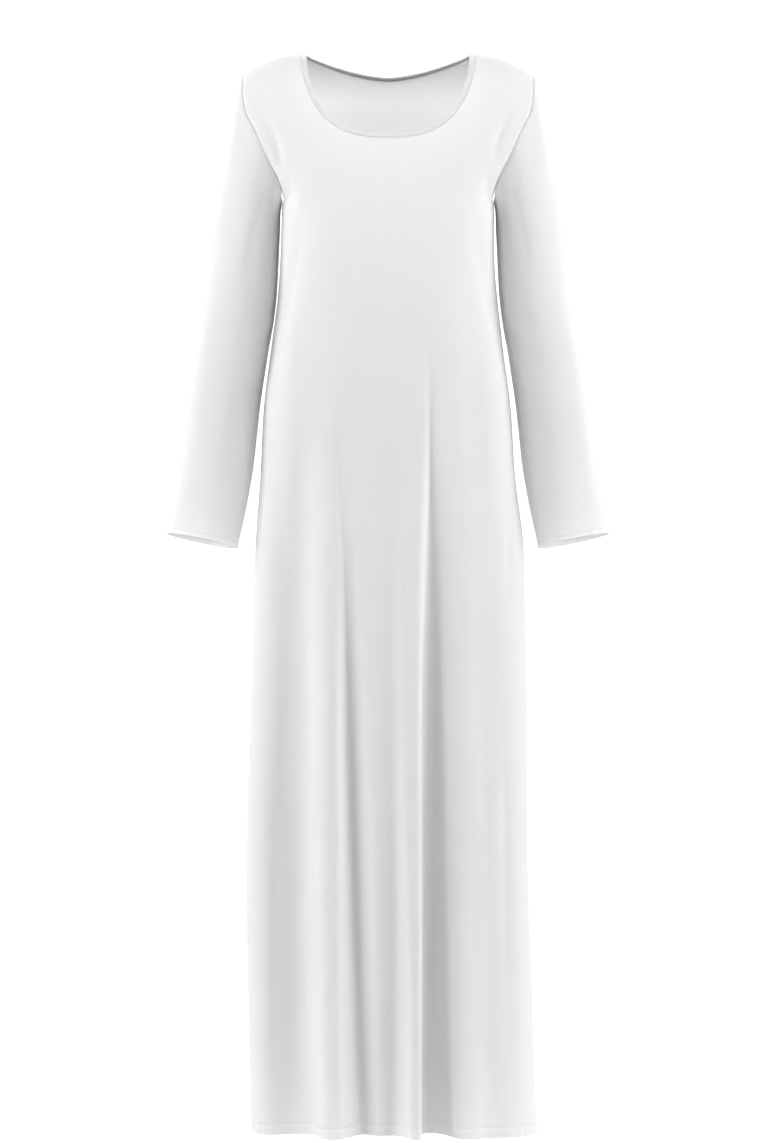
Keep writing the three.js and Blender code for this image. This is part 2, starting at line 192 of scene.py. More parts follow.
# %% Long folds of the skirt
FRONT_FOLDS = [
    (-116, -430, -125, 30, 30, 38, 0.9),
    (-66, -390, -40, 9, 30, 42, 0.9),
    (2, -560, 8, 22, 13, 26, 1.0),
    (54, -340, 61, 10, 24, 48, 0.9),
    (122, -640, 134, 22, 26, 10, 1.0),
]
BACK_FOLDS = [
    (-112, -640, -126, 16, 24, 20, 0.9),
    (-52, -400, -66, 22, 11, 34, 1.1),
    (6, -560, 12, 16, 22, 22, 1.0),
    (62, -430, 74, 10, 24, 36, 1.1),
    (124, -740, 134, 20, 16, 14, 1.0),
]
SIDE_CREASE = {"x_top": 110, "x_end": 150, "top": -215, "end": -430, "width": 9, "depth": 5}
FOLD_START_WIDTH = 0.75
FOLD_EASE = 0.12
FOLD_FADE_FROM, FOLD_FADE_TO, FOLD_BELOW_ARMPIT = 0.86, 0.99, 30


def fold_depth(folds, x, z):
    """How far the long folds push the cloth in at places of a panel."""
    depth = np.zeros_like(x)
    for x_top, top, x_hem, left_width, right_width, deepest, growth in folds:
        down = np.clip((top - z) / (top - HEM), 0, 1)
        offset = x - lerp(x_top, x_hem, down)
        width = np.where(offset < 0, left_width, right_width)
        profile = np.exp(-((offset / (width * lerp(FOLD_START_WIDTH, 1, down))) ** 2))
        depth += deepest * down**growth * smoothstep(down, 0, FOLD_EASE) * profile
    crease = SIDE_CREASE
    run = np.clip((crease["top"] - z) / (crease["top"] - crease["end"]), 0, 1)
    beside = np.abs(x) - lerp(crease["x_top"], crease["x_end"], run)
    return depth + crease["depth"] * np.sin(pi * run) * np.exp(-((beside / crease["width"]) ** 2))


print("long folds:", len(FRONT_FOLDS), "in front and", len(BACK_FOLDS), "behind")

# %% [markdown]
# A panel is a surface with two directions: across it, from -1 at its left edge to 1 at its right one, and up
# it by levels. Over the top of the shoulder a level turns into a way round the roll of the shoulder. Points
# could be pushed into place one by one. As a function, the surface gives any point that is asked for, so
# that the mesh, the seams and the stitches all lie on the same cloth.


# %% The surface of a panel
@dataclass
class Panel:
    name: str
    facing: int
    folds: list
    neck: object
    hem_rise: float
    corner: float
    creases: list


HEM_RISE_HEIGHT = 500
TINY = 1e-9


def front_neck(x):
    side = np.clip(x / NECK_HALF_WIDTH, 0, 1) ** FRONT_NECK_SIDE
    return -FRONT_NECK_DROP * (1 - side) ** (1 / FRONT_NECK_BOTTOM)


def back_neck(x):
    return -BACK_NECK_DROP * (1 - np.clip(x / NECK_HALF_WIDTH, 0, 1) ** BACK_NECK_CURVE)


def panel_points(panel, across, level):
    """Points of the middle of a panel's cloth."""
    across, level = np.broadcast_arrays(np.asarray(across, float), np.asarray(level, float))
    above = level > UNDERARM
    roll = np.maximum(0, (level + CROWN) / CROWN)
    z = np.where(level > -CROWN, -CROWN + CROWN * np.sin(roll), level)
    depth = read(BODY, panel.name, z) * np.cos(roll)
    drop = np.where(above, SHOULDER_DROP * smoothstep(level, UNDERARM, TOP_LEVEL), 0)
    reach = read(ARMHOLE, panel.name, z - drop)
    spread = read(ARMHOLE, "spread", z - drop)
    angle = np.where(above, np.arcsin(np.minimum(1, reach / spread)), pi / 2)
    low_width = np.where(across < 0, read(BODY, "left", level), read(BODY, "right", level))
    width = np.where(above, spread, low_width)
    turn = across * angle
    x = width * np.sin(turn)
    forward = np.clip(np.cos(turn), 0, 1)
    y = panel.facing * depth * forward ** read(BODY, "round", z)
    share = np.maximum(0, (np.abs(x) - NECK_HALF_WIDTH) / (reach - NECK_HALF_WIDTH)) ** SHOULDER_CURVE
    rise = panel.hem_rise * np.cos(across * pi / 2) ** 2 * (1 - smoothstep(level, HEM, HEM + HEM_RISE_HEIGHT))
    z = np.where(above, z - drop * share, z + rise)
    seam = 1 - smoothstep(np.abs(across), FOLD_FADE_FROM, FOLD_FADE_TO)
    armpit = smoothstep(-level, -UNDERARM, -UNDERARM + FOLD_BELOW_ARMPIT)
    inward = np.where(above, 0, fold_depth(panel.folds, x, z) * seam * armpit)
    out_x, out_y = depth * np.sin(turn), panel.facing * width * forward
    length = np.hypot(out_x, out_y) + TINY
    return np.stack([x - inward * out_x / length, y - inward * out_y / length, z], axis=-1)


# %% [markdown]
# The neck is cut out of the two panels. A Boolean could cut it, but would leave thin slivers along the edge.
# Instead a halfway search finds where a panel's surface crosses the neck edge, for many columns at once, and
# the grid ends there.


# %% The neck edge
HALVINGS = 40


def is_cut_away(panel, across, level):
    point = panel_points(panel, across, level)
    x = np.abs(point[..., 0])
    return (x < NECK_HALF_WIDTH) & (point[..., 2] > panel.neck(x))


def last_kept(kept, gone, is_gone):
    for _ in range(HALVINGS):
        middle = (kept + gone) / 2
        away = is_gone(middle)
        gone, kept = np.where(away, middle, gone), np.where(away, kept, middle)
    return kept


def neck_level(panel, across):
    low, high = np.full_like(across, UNDERARM), np.full_like(across, TOP_LEVEL)
    return last_kept(low, high, lambda level: is_cut_away(panel, across, level))


def neck_across(panel, level):
    level = np.asarray(level, float)
    seam, middle = np.ones_like(level), np.zeros_like(level)
    return last_kept(seam, middle, lambda place: is_cut_away(panel, place, level))


# %% [markdown]
# Cloth has two faces and an edge. The Solidify modifier would thicken a sheet, but here the rim's shape and
# the UV map matter too. So one helper turns any grid of middle points into a thin shell: it moves the grid
# out and in by half the cloth, and closes the edge with a small rounded rim. The shell carries a UV map in
# millimetres of cloth, so that the weave later runs with the grain of each cut piece.

# %% Shells of cloth
MM = 0.001
CLOTH = 0.9
RIM = 0.4
SHARP_EDGE = radians(60)


def corners_of(grid, ring):
    """The four corner numbers of every cell of a grid, and of the same cells with the ring not closed."""
    rows, columns = grid.shape[:2]
    i, j = np.meshgrid(np.arange(rows - 1), np.arange(columns if ring else columns - 1), indexing="ij")
    after = (j + 1) % columns
    row, next_row = i * columns, (i + 1) * columns
    cells = np.stack([row + j, row + after, next_row + after, next_row + j], -1)
    open_cells = np.stack([i, j, i, j + 1, i + 1, j + 1, i + 1, j], -1)
    cells, open_cells = cells.reshape(-1, 4), open_cells.reshape(-1, 4, 2)
    whole = ~np.isnan(grid.reshape(-1, 3)[cells]).any(axis=(1, 2))
    return cells[whole], open_cells[whole]


def normals_of(grid, ring, outward):
    """Direction out of the cloth at every point of a grid."""
    cells, _ = corners_of(grid, ring)
    points = grid.reshape(-1, 3)
    a, b, c, d = (points[cells[:, k]] for k in range(4))
    facing = np.cross(c - a, d - b) * outward
    total = np.zeros_like(points)
    for k in range(4):
        np.add.at(total, cells[:, k], facing)
    length = np.linalg.norm(total, axis=1, keepdims=True)
    return (total / np.maximum(length, TINY)).reshape(grid.shape)


def rim_edges(cells):
    """Edges that belong to one cell only, in the direction in which that cell runs."""
    edges = np.concatenate([cells[:, [k, (k + 1) % 4]] for k in range(4)])
    key = np.sort(edges, axis=1)
    _, first, count = np.unique(key, axis=0, return_index=True, return_counts=True)
    return edges[first[count == 1]]


def make_object(name, vertices, faces, uv):
    mesh = bpy.data.meshes.new(name)
    mesh.from_pydata((vertices * MM).tolist(), [], faces.tolist())
    mesh.uv_layers.new(name="cloth_grain").data.foreach_set("uv", uv.reshape(-1))
    mesh.shade_smooth()
    mesh.set_sharp_from_angle(angle=SHARP_EDGE)
    return add_object(name, mesh)


def cloth_shell(name, grid, grain, outward, ring=False, thickness=CLOTH):
    """A thin closed shell on a grid of middle points. Grain is the UV place of each point, in millimetres."""
    cells, open_cells = corners_of(grid, ring)
    if outward < 0:
        cells, open_cells = cells[:, ::-1], open_cells[:, ::-1]
    used, packed = np.unique(cells, return_inverse=True)
    quads = packed.reshape(cells.shape)
    middle = grid.reshape(-1, 3)[used]
    normal = normals_of(grid, ring, outward).reshape(-1, 3)[used]
    rim = rim_edges(quads)
    beyond = np.zeros_like(middle)
    side = np.cross(middle[rim[:, 1]] - middle[rim[:, 0]], normal[rim[:, 0]])
    np.add.at(beyond, rim[:, 0], side)
    np.add.at(beyond, rim[:, 1], side)
    beyond /= np.maximum(np.linalg.norm(beyond, axis=1, keepdims=True), TINY)
    count = len(used)
    vertices = np.concatenate(
        [middle + normal * thickness / 2, middle - normal * thickness / 2, middle + beyond * RIM * thickness]
    )
    a, b = rim[:, 0], rim[:, 1]
    upper = np.stack([b, a, a + 2 * count, b + 2 * count], -1)
    lower = np.stack([b + 2 * count, a + 2 * count, a + count, b + count], -1)
    faces = np.concatenate([quads, quads[:, ::-1] + count, upper, lower])
    on_edge = np.zeros(3 * count, bool)
    on_edge[rim.reshape(-1) + 2 * count] = True
    on_edge[: 2 * count] = True
    renumber = np.cumsum(on_edge) - 1
    face_uv = grain[open_cells[..., 0], open_cells[..., 1]]
    flat = grain[:, : grid.shape[1]].reshape(-1, 2)[used]
    rim_uv = [flat[face % count] for face in (upper, lower)]
    uv = np.concatenate([face_uv, face_uv[:, ::-1], *rim_uv])
    return make_object(name, vertices[on_edge], renumber[faces], uv)


# %% [markdown]
# Where the sewing is, the cloth dips a little: at a seam the two edges roll in, and along a hem's stitches
# the thread pulls a fine groove. Both need to know how far each point of the cloth is from an edge. Trying
# every pair of points would be slow, so the edge's points are first sorted into a tree.

# %% Distances from an edge, and what they shape
FAR_AWAY = 1000.0


def distance_from(grid, edge_points):
    """Distance of every point of a grid from the nearest of some edge points."""
    edge_points = edge_points[~np.isnan(edge_points).any(axis=-1)]
    tree = KDTree(len(edge_points))
    for index, point in enumerate(edge_points):
        tree.insert(point, index)
    tree.balance()
    flat = grid.reshape(-1, 3)
    near = [FAR_AWAY if np.isnan(point[0]) else tree.find(point)[2] for point in flat]
    return np.array(near).reshape(grid.shape[:2])


def seam_roll(distance, depth, width):
    """The dip beside a seam, deepest at the edge."""
    return depth * np.exp(-((distance / width) ** 2))


def groove(distance, at, depth, width):
    """A fine line at a distance from an edge, as stitches pull it in."""
    return depth * np.exp(-(((distance - at) / width) ** 2))


# %% [markdown]
# The finer creases could be sculpted with a brush. Here each is a row of sizes, so that it can be set beside
# its place in the photograph and changed alone. They are soft troughs, and a depth below zero is a ridge. A
# crease has two ends, fades at both, and swells and wanders a little, so that no two look alike. The first
# eight rows of the front make a long fold deeper or softer, or round the cloth beside one. An end at -1900
# is far below the hem, so that such a crease is still there at the hem. Each row has the place across and
# the height of both ends, then the width, the depth and the bend.

# %% The finer creases
SWELL, SWELL_TURNS, END_FADE = 0.25, 9, 1.2


def crease_depth(creases, x, z):
    """Depth of the small creases at places seen from the front or the back."""
    depth = np.zeros_like(x)
    for number, (x0, z0, x1, z1, width, deepest, bend) in enumerate(creases):
        way_x, way_z = x1 - x0, z1 - z0
        length = np.hypot(way_x, way_z)
        dx, dz = x - x0, z - z0
        t = (dx * way_x + dz * way_z) / length**2
        arch = np.sin(pi * np.clip(t, 0, 1))
        aside = (dx * way_z - dz * way_x) / length - bend * arch
        swell = 1 + SWELL * np.sin(SWELL_TURNS * t + number)
        fade = np.where((t > 0) & (t < 1), arch**END_FADE, 0)
        depth += deepest * swell * fade * np.exp(-((aside / width) ** 2))
    return depth


FRONT_CREASES = [
    (-136, -430, -144, -1900, 24, 11, 0),
    (-112, -400, -116, -1900, 24, 8, 0),
    (-57, -680, -48, -1900, 14, 7, 0),
    (18, -640, 16, -1900, 11, 4, 0),
    (-62, -400, -54, -900, 12, -4, 0),
    (57, -330, 66, -800, 14, -5, 0),
    (-12, -420, 2, -1900, 30, 6, 0),
    (52, -520, 70, -1900, 18, 12, 0),
    (-176, -66, -134, -168, 6, 3.2, -7),
    (172, -64, 132, -166, 6, 3.0, 7),
    (-131, -158, -121, -232, 7, 3.0, 2),
    (131, -156, 120, -226, 7, 2.6, -2),
    (-122, -300, -127, -640, 13, -3.0, 3),
    (136, -280, 128, -600, 14, -3.2, -4),
    (-92, -330, -98, -700, 16, 1.6, 4),
    (-76, -470, -66, -1100, 12, -2.0, 3),
    (-20, -420, -8, -980, 20, 1.4, -5),
    (24, -300, 30, -820, 18, -1.6, 4),
    (88, -420, 96, -1020, 18, -2.2, -4),
    (104, -250, 112, -560, 12, 1.5, 3),
    (-104, -860, -100, -1390, 9, -2.4, 2),
    (-70, -960, -62, -1400, 8, 1.8, -3),
    (24, -1020, 30, -1400, 9, 1.8, 2),
    (100, -900, 108, -1400, 10, 1.9, -3),
    (150, -820, 158, -1380, 9, 2.2, 3),
    (-150, -900, -152, -1390, 9, 2.0, -2),
    (165, -560, 158, -700, 8, 2.0, 4),
    (-58, -150, -96, -214, 12, 1.2, 4),
    (60, -152, 98, -216, 12, 1.1, -4),
    (-8, -136, -14, -250, 20, 0.9, 3),
]
BACK_CREASES = [
    (-176, -56, -138, -160, 7, 2.6, -6),
    (174, -58, 136, -162, 7, 2.8, 6),
    (-128, -166, -112, -250, 8, 2.8, 3),
    (130, -164, 116, -246, 8, 2.6, -3),
    (-60, -60, -76, -190, 18, 1.4, 4),
    (66, -58, 80, -184, 18, 1.2, -4),
    (-30, -240, -24, -560, 20, 1.8, 4),
    (22, -260, 20, -520, 18, -1.6, -4),
    (-96, -300, -90, -640, 16, 2.0, -4),
    (98, -320, 92, -620, 16, -2.2, 4),
    (-40, -330, 46, -372, 10, 1.8, 5),
    (-58, -380, 34, -404, 9, 1.4, -4),
    (-84, -820, -90, -1390, 12, -2.2, 3),
    (-30, -900, -26, -1400, 10, 2.0, -3),
    (38, -860, 44, -1400, 12, 2.2, 3),
    (104, -880, 110, -1390, 10, 2.0, -3),
    (152, -800, 156, -1370, 9, 2.0, 3),
    (-152, -760, -156, -1380, 10, 2.2, 3),
]
print("creases:", len(FRONT_CREASES), "in front and", len(BACK_CREASES), "behind")

# %% [markdown]
# Now a panel can be laid out as a grid. An even one would need far more faces to show a line of stitches.
# Here the columns run from hem to neck and stand closest beside the side seams, and the rows stand closest
# at the hem's stitches and where the armhole turns under the arm. Above the corner of the neck edge only the
# columns beside the neck go on, up to the shoulder seam.

# %% Rows and columns of a panel
STITCH_ABOVE_HEM = 13
HEM_ROWS = [0, 1.2, 3, 5.5, 8.5, 10.8, 12, STITCH_ABOVE_HEM, 14, 15.2, 17.5, 21, 27, 35]
STITCH_ROW = HEM_ROWS.index(STITCH_ABOVE_HEM)
ROW_SPACING = 9
ARMPIT_ROWS = [0, 0.2, 0.6, 1.2, 2, 3, 4.3, 6, 8, 10.2, 12.8, 15.8, 19, 22.5, 26.5]
SIDE_COLUMNS = [0, 0.002, 0.005, 0.009, 0.015, 0.022, 0.031, 0.042]
COLUMN_SPACING = 0.0132
UPPER_SPACING = 4.2
SHOULDER_SPACING = 3.4


def spaced(low, high, spacing):
    return np.linspace(low, high, int(np.ceil((high - low) / spacing)) + 1)


def panel_rows(panel):
    """Levels of a panel's rows: up to the underarm, on to the corner of the neck edge, and to the top."""
    hem = HEM + np.array(HEM_ROWS)
    lower = spaced(hem[-1], UNDERARM, ROW_SPACING)[1:]
    armpit = UNDERARM + np.array(ARMPIT_ROWS[1:])
    upper = spaced(armpit[-1], panel.corner, UPPER_SPACING)[1:]
    top = spaced(panel.corner, TOP_LEVEL, SHOULDER_SPACING)[1:]
    return np.concatenate([hem, lower]), np.concatenate([armpit, upper]), top


def panel_layout(panel):
    """Place across and level of every point of a panel's grid, with nothing where the neck is cut out."""
    lower, upper, top = panel_rows(panel)
    corner = float(neck_across(panel, panel.corner))
    inner = spaced(-1 + SIDE_COLUMNS[-1], 1 - SIDE_COLUMNS[-1], COLUMN_SPACING)
    inner = inner[np.abs(np.abs(inner) - corner) > COLUMN_SPACING / 2]
    edges = 1 - np.array(SIDE_COLUMNS[:-1])
    columns = np.sort(np.concatenate([inner, edges, -edges, [corner, -corner]]))
    inside = np.abs(columns) < corner
    tops = np.where(inside, neck_level(panel, columns), panel.corner)
    share = (upper - UNDERARM) / (panel.corner - UNDERARM)
    beside = neck_across(panel, top)
    outer = np.clip((np.abs(columns) - corner) / (1 - corner), 0, 1)
    top_across = np.sign(columns) * lerp(beside[:, None], 1, outer[None, :])
    top_across[:, inside] = np.nan
    across = np.concatenate([np.tile(columns, (len(lower) + len(upper), 1)), top_across])
    level = np.concatenate(
        [
            np.repeat(lower[:, None], len(columns), 1),
            lerp(UNDERARM, tops[None, :], share[:, None]),
            np.repeat(top[:, None], len(columns), 1),
        ]
    )
    return across, level, corner, columns


# %% [markdown]
# The panel's shell: the plain form first, then the creases, the rolled seams and the hem pushed in or out
# along its normals. The hem is turned up once, so it is a little fuller below its stitches. A bump in the
# material would be quicker, but it would leave the outline plain and cast no shade.

# %% Making a panel
SEAM_GAP = 0.1
HEM_FULLNESS = 0.35
HEM_GROOVE = (0.55, 1.5)
HEM_PUCKER = {"depth": 0.35, "waves": 83, "wander": 17, "level": 8, "height": 11}
FLAT_BESIDE = {"armhole": (3, 14), "side": (2, 12), "neck": (4, 18)}
ROLLED_IN = {"armhole": (1.9, 2.6), "side": (0.9, 2.2), "neck": (0.8, 2.4), "shoulder": (0.8, 2.2)}
GRAIN_HALF_WIDTH = 300


def nearest(values, wanted):
    return int(np.argmin(np.abs(values - wanted)))


def along_neck(source, row, left, right):
    """The points of a panel's grid, or what goes with them, along its neck edge from left to right."""
    down, up = source[row + 1 :, left][::-1], source[row + 1 :, right]
    return np.concatenate([down, source[row, left : right + 1], up])


def panel_grid(panel):
    """Middle points of a panel, with its sewing and creases, and what else later cells need."""
    across, level, corner, columns = panel_layout(panel)
    grid = panel_points(panel, np.nan_to_num(across), level)
    grid[np.isnan(across)] = np.nan
    grid[..., 1] += panel.facing * SEAM_GAP / 2
    outward = -panel.facing
    neck_at = nearest(level[:, 0], panel.corner), nearest(columns, -corner), nearest(columns, corner)
    underarm_row = nearest(level[:, 0], UNDERARM)
    normal = normals_of(grid, False, outward)
    edges = {
        "armhole": grid[underarm_row:, [0, -1]].reshape(-1, 3),
        "side": grid[: underarm_row + 1, [0, -1]].reshape(-1, 3),
        "neck": along_neck(grid, *neck_at),
        "shoulder": grid[-1],
    }
    away = {name: distance_from(grid, points) for name, points in edges.items()}
    above_hem = level - HEM
    depth = crease_depth(panel.creases, grid[..., 0], grid[..., 2])
    for name, reach in FLAT_BESIDE.items():
        depth *= smoothstep(away[name], *reach)
    for name, roll in ROLLED_IN.items():
        depth += seam_roll(away[name], *roll)
    depth += groove(above_hem, STITCH_ABOVE_HEM, *HEM_GROOVE)
    depth -= HEM_FULLNESS * (1 - smoothstep(above_hem, STITCH_ABOVE_HEM - 2, STITCH_ABOVE_HEM + 1))
    pucker = HEM_PUCKER
    ripple = np.sin(across * pucker["waves"] + 2 * np.sin(across * pucker["wander"]))
    ripple = ripple * np.exp(-(((above_hem - pucker["level"]) / pucker["height"]) ** 2))
    depth += pucker["depth"] * np.nan_to_num(ripple)
    grid = grid - normal * depth[..., None]
    grain = np.stack([across * GRAIN_HALF_WIDTH, level], -1)
    return {
        "grid": grid,
        "grain": np.nan_to_num(grain),
        "outward": outward,
        "edge_levels": level[underarm_row:, 0],
        "neck_at": neck_at,
    }


FRONT = Panel("front", -1, FRONT_FOLDS, front_neck, 11, -70, FRONT_CREASES)
BACK = Panel("back", 1, BACK_FOLDS, back_neck, 4, 7, BACK_CREASES)
laid, pieces = {}, {}


def make_piece(name, data, ring):
    laid[name] = data
    pieces[name] = cloth_shell(f"{name}_cloth", data["grid"], data["grain"], data["outward"], ring)
    print(name, len(pieces[name].data.polygons), "faces")


for panel in (FRONT, BACK):
    make_piece(panel.name, panel_grid(panel), ring=False)

# %% [markdown]
# A set-in sleeve is a tube that starts on the armhole and turns down into the arm. Each of its lengthwise
# lines leaves the seam in one direction and enters the first full ring of the arm in another one, and a
# Hermite curve joins the two. Below, rings follow the arm down to the cuff. A bent cylinder would give the
# arm as well, but not a head that fits its armhole.

# %% Sizes of a sleeve
ARM_ROWS = [
    (184.8, 7, -232, 43.8, 58),
    (191.3, 8, -321, 45.4, 57),
    (202.2, 8, -386, 45.8, 55),
    (212, 6, -451, 46, 51),
    (221.5, 2, -529, 47, 46),
    (230.5, -3, -581, 47.2, 42),
    (241.5, -8, -634, 46.8, 38),
]
ARM = table(
    ("run", "x", "y", "z", "across", "deep"),
    [(index / (len(ARM_ROWS) - 1), *row) for index, row in enumerate(ARM_ROWS)],
)
HEAD = table(("angle", "out", "down", "enter"), [(0, 45, 40, 175), (90, 40, 62, 120), (180, 5, 20, 30)])
SEAT_ABOVE, SEAT_BELOW, SEAT_FROM, SEAT_TO = 0.35, 1.5, 70, 150
ARM_STEP = 0.01
LEAN_FROM = 0.35


def unit(vectors):
    return vectors / np.linalg.norm(vectors, axis=-1, keepdims=True)


def arm_points(side, turn, run):
    """Points of rings of the arm, a row for each run and a column for each turn."""
    run = np.atleast_1d(np.asarray(run, float))

    def centre(at):
        return np.stack([side * read(ARM, "x", at), read(ARM, "y", at), read(ARM, "z", at)], -1)

    axis = unit(centre(np.minimum(1, run + ARM_STEP)) - centre(np.maximum(0, run - ARM_STEP)))
    axis = unit(lerp(np.array([0, 0, -1.0]), axis, smoothstep(run, 0, LEAN_FROM)[:, None]))
    forward = unit(np.array([0, -1.0, 0]) + axis * axis[:, 1:2])
    outward = np.cross(forward, axis)
    outward *= np.sign(outward[:, :1]) * side
    across = read(ARM, "across", run)[:, None, None] * np.cos(turn)[None, :, None]
    deep = read(ARM, "deep", run)[:, None, None] * np.sin(turn)[None, :, None]
    return centre(run)[:, None] + outward[:, None] * across + forward[:, None] * deep


# %% [markdown]
# The armhole loop runs from the underarm up the front to the shoulder and down the back. Its points are the
# edge points of the two panels, so that the seam fits. Each is paired with the turn round the arm that it
# leads to, in step with its length along the loop.


# %% The armhole loop and the sleeve's surface
def run_along(points):
    """How far along a line each of its points is. For a grid, the mean of its columns."""
    steps = np.linalg.norm(np.diff(points, axis=0), axis=-1)
    return np.concatenate([[0], np.cumsum(steps.mean(axis=1) if steps.ndim > 1 else steps)])


def armhole_loop(side):
    levels = {panel.name: laid[panel.name]["edge_levels"] for panel in (FRONT, BACK)}
    front = panel_points(FRONT, side, levels["front"])
    back = panel_points(BACK, side, levels["back"])

    def turns(points):
        run = run_along(points)
        return pi * (1 - run / run[-1])

    points = np.concatenate([front, back[::-1][1:-1]])
    return points, np.concatenate([turns(front), -turns(back)[::-1][1:-1]])


def sleeve_points(side, along_head, along_arm):
    """Points of a sleeve: rows down from the seam, and columns round it."""
    seam, turn = armhole_loop(side)
    from_top = np.degrees(np.abs(turn))
    start = seam.copy()
    start[:, 0] += side * lerp(SEAT_ABOVE, SEAT_BELOW, smoothstep(from_top, SEAT_FROM, SEAT_TO))
    end = arm_points(side, turn, 0)[0]
    into = unit(arm_points(side, turn, ARM_STEP)[0] - end)
    out, down, enter = (read(HEAD, column, from_top) for column in ("out", "down", "enter"))
    leave = np.stack([side * out, 0 * out, -down], -1)
    t = along_head[:, None, None]
    head = hermite(start[None], leave[None], end[None], (into * enter[:, None])[None], t)
    return np.concatenate([head, arm_points(side, turn, along_arm)]), turn


# %% [markdown]
# A sleeve creases where the arm bends and where it hangs against the body. These creases are placed by their
# angle round the arm, 0 on the outside, 90 in front and 180 on the inside, and by their height. Each row has
# the angle and the height of both ends, the width and the depth.

# %% Sleeve creases
SLEEVE_CREASES = {
    -1: [
        (128, -176, 96, -300, 7, 2.6),
        (150, -214, 118, -352, 8, 2.4),
        (176, -330, 92, -374, 9, 2.6),
        (172, -366, 108, -404, 8, 2.0),
        (60, -120, 70, -330, 14, 1.6),
        (34, -260, 56, -560, 16, -1.8),
        (118, -430, 108, -610, 10, 1.6),
        (-150, -200, -104, -330, 9, 2.4),
        (-170, -338, -96, -372, 9, 2.2),
        (-60, -150, -76, -480, 16, 1.6),
        (-28, -300, -40, -600, 14, -1.6),
    ],
    1: [
        (126, -172, 100, -286, 7, 2.6),
        (148, -206, 112, -340, 8, 2.6),
        (174, -318, 88, -366, 9, 2.2),
        (170, -362, 100, -412, 9, 2.4),
        (64, -110, 60, -350, 14, 1.5),
        (40, -280, 46, -590, 15, -1.8),
        (122, -440, 114, -600, 10, 1.5),
        (-146, -196, -108, -344, 9, 2.6),
        (-168, -344, -90, -386, 9, 2.2),
        (-64, -140, -70, -500, 16, 1.5),
        (-30, -310, -44, -590, 14, -1.6),
    ],
}
ARM_RADIUS = 48
SLEEVE_BEND = 4


def sleeve_crease_depth(creases, turn, z):
    """Small creases of a sleeve, in the flat view of angle times radius against height."""
    rows = [
        (radians(a0) * ARM_RADIUS, z0, radians(a1) * ARM_RADIUS, z1, width, depth, SLEEVE_BEND)
        for a0, z0, a1, z1, width, depth in creases
    ]
    return crease_depth(rows, turn * ARM_RADIUS, z)


# %% [markdown]
# The sleeve's one lengthwise seam runs under the arm and turns forward a little towards the wrist, where it
# shows as a fine line inside the forearm's edge. The cuff is turned up and stitched 5 mm above its edge.

# %% Making the sleeves
SEAM_AT_CUFF = radians(146)
STITCH_ABOVE_CUFF = 5.2
CUFF_ROWS = [16, 12.5, 10, 8, 6.8, 6, STITCH_ABOVE_CUFF, 4.4, 3.4, 2, 0.8, 0]
CUFF_STITCH_ROW = CUFF_ROWS.index(STITCH_ABOVE_CUFF) - len(CUFF_ROWS)
HEAD_ROWS = np.array([0, 0.01, 0.025, 0.045, 0.07, 0.1, 0.135, *np.linspace(0.175, 0.965, 22)])
ARM_ROW_COUNT = 74
LENGTH_PER_RUN = 322
FLAT_BY_ARMHOLE, FLAT_BY_CUFF = (4, 22), (8, 40)
HEAD_ROLL, ROLL_ON_TOP, ROLL_BELOW, ROLL_ANGLES = (1.0, 2.4), 1.3, 0.25, (70, 140)
CUFF_GROOVE = (0.5, 1.2)
SEAM_GROOVE, SEAM_STARTS, SEAM_TURNS = (0.8, 1.5), (2, 10), (0.1, 0.9)
CUFF_PUCKER = {"depth": 0.25, "waves": 23, "wander": 3, "height": 9}


def sleeve_grid(side):
    """Middle points of a sleeve, with its sewing and creases."""
    cuff = 1 - np.array(CUFF_ROWS) / LENGTH_PER_RUN
    arm = np.concatenate([np.linspace(0, cuff[0], ARM_ROW_COUNT)[:-1], cuff])
    grid, turn = sleeve_points(side, HEAD_ROWS, arm)
    outward = -side
    normal = normals_of(grid, True, outward)
    from_top = np.degrees(np.abs(turn))[None, :]
    seam = distance_from(grid, grid[0])
    cuff_edge = distance_from(grid, grid[-1])
    turns = np.broadcast_to(turn, grid.shape[:2])
    depth = sleeve_crease_depth(SLEEVE_CREASES[side], turns, grid[..., 2])
    depth *= smoothstep(seam, *FLAT_BY_ARMHOLE) * smoothstep(cuff_edge, *FLAT_BY_CUFF)
    depth += seam_roll(seam, *HEAD_ROLL) * lerp(ROLL_ON_TOP, ROLL_BELOW, smoothstep(from_top, *ROLL_ANGLES))
    depth += groove(cuff_edge, STITCH_ABOVE_CUFF, *CUFF_GROOVE)
    run = np.concatenate([HEAD_ROWS * 0, arm])[:, None]
    seam_turn = lerp(pi, SEAM_AT_CUFF, smoothstep(run, *SEAM_TURNS))
    around = np.abs((turns - seam_turn + pi) % (2 * pi) - pi) * ARM_RADIUS
    depth += seam_roll(around, *SEAM_GROOVE) * smoothstep(seam, *SEAM_STARTS)
    pucker = CUFF_PUCKER
    ripple = np.sin(turns * pucker["waves"] + 2 * np.sin(pucker["wander"] * turns))
    depth += pucker["depth"] * ripple * np.exp(-((cuff_edge / pucker["height"]) ** 2))
    grid = grid - normal * depth[..., None]
    round_turn = np.append(pi - turn, 2 * pi)
    round_turn = np.where(round_turn < 0, round_turn + 2 * pi, round_turn)
    grain = np.stack(np.broadcast_arrays(round_turn[None, :] * ARM_RADIUS, run_along(grid)[:, None]), -1)
    return {"grid": grid, "grain": grain, "outward": outward}


SIDES = {-1: "left_sleeve", 1: "right_sleeve"}
for side, name in SIDES.items():
    make_piece(name, sleeve_grid(side), ring=True)
